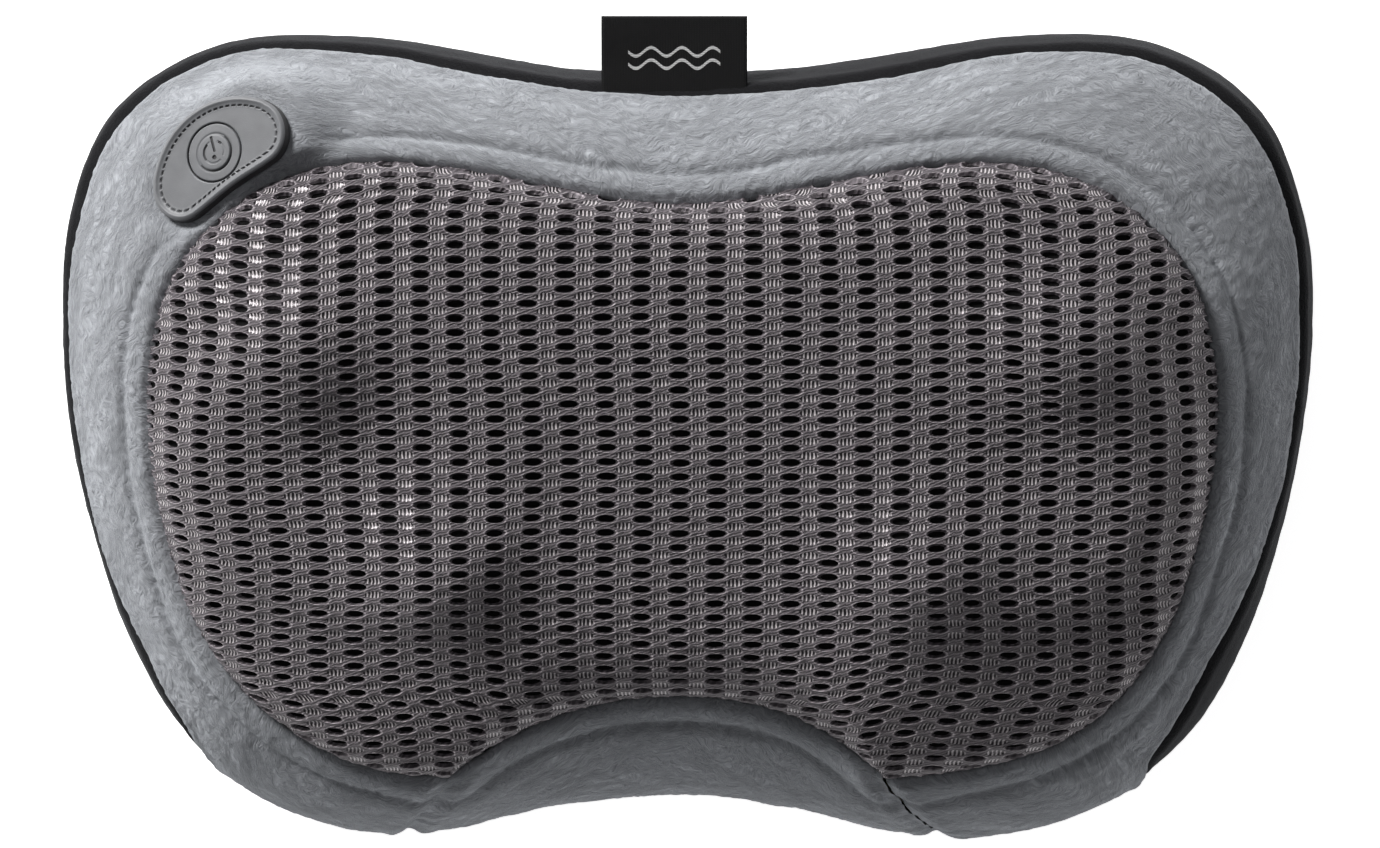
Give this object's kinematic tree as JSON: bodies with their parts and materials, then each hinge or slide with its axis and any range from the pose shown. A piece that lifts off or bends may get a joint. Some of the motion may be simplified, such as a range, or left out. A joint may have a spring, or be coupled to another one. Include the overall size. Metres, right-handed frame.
{
  "type": "shiatsu massage pillow",
  "caption": "Kidney-shaped padded massage pillow with a plush border, an open mesh panel and geared rotating kneading nodes inside.",
  "frame": {"origin": "centre of the bounding box on the plane of the flat back, on which the pillow lies", "axes": "+X across the pillow, to the right as seen from the massage face; +Y up the pillow, towards the tag; +Z out of the massage face"},
  "size_m": [0.3308, 0.2172, 0.1041],
  "materials": {
    "black_fabric": "fuzzy short-pile black fabric",
    "plush": "short-pile grey velboa plush",
    "mesh_fabric": "open 3D air mesh with a satin yarn",
    "lining_fabric": "thin woven lining",
    "foam": "open-cell foam",
    "tag_fabric": "folded woven satin tape",
    "zip_tape": "woven tape",
    "zip_plastic": "moulded nylon teeth",
    "zip_metal": "black painted zinc",
    "grey_rubber": "moulded satin rubber",
    "steel": "turned steel",
    "black_plastic": "moulded, fine texture",
    "circuit_board": "solder mask",
    "motor_steel": "drawn zinc-plated steel",
    "magnet": "sintered ferrite",
    "copper": "enamelled copper winding",
    "gear_plastic": "natural acetal",
    "bronze": "sintered bronze",
    "arm_plastic": "glass-filled nylon",
    "node_plastic": "moulded, semi-gloss",
    "washer_plastic": "nylon",
    "cell_wrap": "shrink wrap",
    "wire_red": "pvc insulation",
    "wire_black": "pvc insulation"
  },
  "bodies": {
    "cushion": {"back_panel": "black_fabric", "side_gusset": "black_fabric", "front_border_cover": "plush", "lower_center_panel": "plush", "mesh_panel": "mesh_fabric", "inner_lining": "lining_fabric", "foam_surround": "foam", "back_foam_pad": "foam", "label_tag": "tag_fabric", "zipper_tape": "zip_tape", "zipper_chain": "zip_plastic", "switch_badge": "grey_rubber", "button_spring": "steel", "switch_housing": "black_plastic", "switch_board": "circuit_board", "tact_switch": "black_plastic", "rear_housing": "black_plastic", "front_housing": "black_plastic", "housing_screws": "steel", "motor_can": "motor_steel", "motor_end_cap": "black_plastic", "motor_magnets": "magnet", "motor_cradle": "black_plastic", "idler_pins": "steel", "lower_bushings": "bronze", "upper_bushings": "bronze", "battery_cells": "cell_wrap", "battery_holders": "black_plastic", "control_board": "circuit_board", "board_components": "black_plastic", "board_screws": "steel", "charge_jack": "black_plastic", "wire_leads": "wire_red", "switch_cable": "wire_black"},
    "arm_left": {"output_gear_left": "gear_plastic", "output_shaft_left": "steel", "massage_arm_left": "arm_plastic", "arm_screw_left": "steel", "node_axles_left": "steel", "thrust_washers_left": "washer_plastic"},
    "arm_right": {"output_gear_right": "gear_plastic", "output_shaft_right": "steel", "massage_arm_right": "arm_plastic", "arm_screw_right": "steel", "node_axles_right": "steel", "thrust_washers_right": "washer_plastic"},
    "ball_left_upper": {"node_left_upper": "node_plastic"},
    "ball_left_lower": {"node_left_lower": "node_plastic"},
    "ball_right_upper": {"node_right_upper": "node_plastic"},
    "ball_right_lower": {"node_right_lower": "node_plastic"},
    "idler_left": {"idler_gear_left": "gear_plastic"},
    "idler_right": {"idler_gear_right": "gear_plastic"},
    "motor_drive": {"worm": "gear_plastic", "motor_shaft": "steel", "motor_rotor": "copper"},
    "button": {"power_button": "grey_rubber"},
    "zip_slider": {"zipper_slider": "zip_metal"},
    "zip_pull": {"zipper_pull": "zip_metal"}
  },
  "joints": [
    {"name": "arm_left_spin", "type": "hinge", "parent": "cushion", "child": "arm_left", "pos_m": [-0.079, -0.00289, 0.05], "axis": [0, 0, 1], "continuous": true},
    {"name": "arm_right_spin", "type": "hinge", "parent": "cushion", "child": "arm_right", "pos_m": [0.079, -0.00289, 0.05], "axis": [0, 0, 1], "continuous": true},
    {"name": "idler_left_spin", "type": "hinge", "parent": "cushion", "child": "idler_left", "pos_m": [-0.025, -0.00289, 0.028], "axis": [0, 0, 1], "continuous": true},
    {"name": "idler_right_spin", "type": "hinge", "parent": "cushion", "child": "idler_right", "pos_m": [0.025, -0.00289, 0.028], "axis": [0, 0, 1], "continuous": true},
    {"name": "motor_spin", "type": "hinge", "parent": "cushion", "child": "motor_drive", "pos_m": [0, -0.00289, 0.025], "axis": [0, 1, 0], "continuous": true},
    {"name": "node_left_upper_spin", "type": "hinge", "parent": "arm_left", "child": "ball_left_upper", "pos_m": [-0.09806, 0.02646, 0.076], "axis": [0, 0, 1], "continuous": true},
    {"name": "node_left_lower_spin", "type": "hinge", "parent": "arm_left", "child": "ball_left_lower", "pos_m": [-0.05994, -0.03224, 0.076], "axis": [0, 0, 1], "continuous": true},
    {"name": "node_right_upper_spin", "type": "hinge", "parent": "arm_right", "child": "ball_right_upper", "pos_m": [0.09806, 0.02646, 0.076], "axis": [0, 0, 1], "continuous": true},
    {"name": "node_right_lower_spin", "type": "hinge", "parent": "arm_right", "child": "ball_right_lower", "pos_m": [0.05994, -0.03224, 0.076], "axis": [0, 0, 1], "continuous": true},
    {"name": "button_press", "type": "slide", "parent": "cushion", "child": "button", "axis": [0.3552, -0.2289, -0.9063], "range_m": [0, 0.001], "stiffness_N_per_m": 400},
    {"name": "zip_travel", "type": "hinge", "parent": "cushion", "child": "zip_slider", "pos_m": [0, -0.30519, 0.016], "axis": [0, 0, 1], "range_deg": [-27.5, 0]},
    {"name": "zip_pull_flip", "type": "hinge", "parent": "zip_slider", "child": "zip_pull", "pos_m": [-0.04895, -0.1059, 0.0174], "axis": [-0.9711, -0.2385, 0], "range_deg": [0, 100]}
  ],
  "couplings": [
    {"joint": "arm_right_spin", "follows": "arm_left_spin", "ratio": -1},
    {"joint": "idler_left_spin", "follows": "arm_left_spin", "ratio": -4},
    {"joint": "idler_right_spin", "follows": "arm_left_spin", "ratio": 4},
    {"joint": "motor_spin", "follows": "arm_left_spin", "ratio": 144}
  ]
}
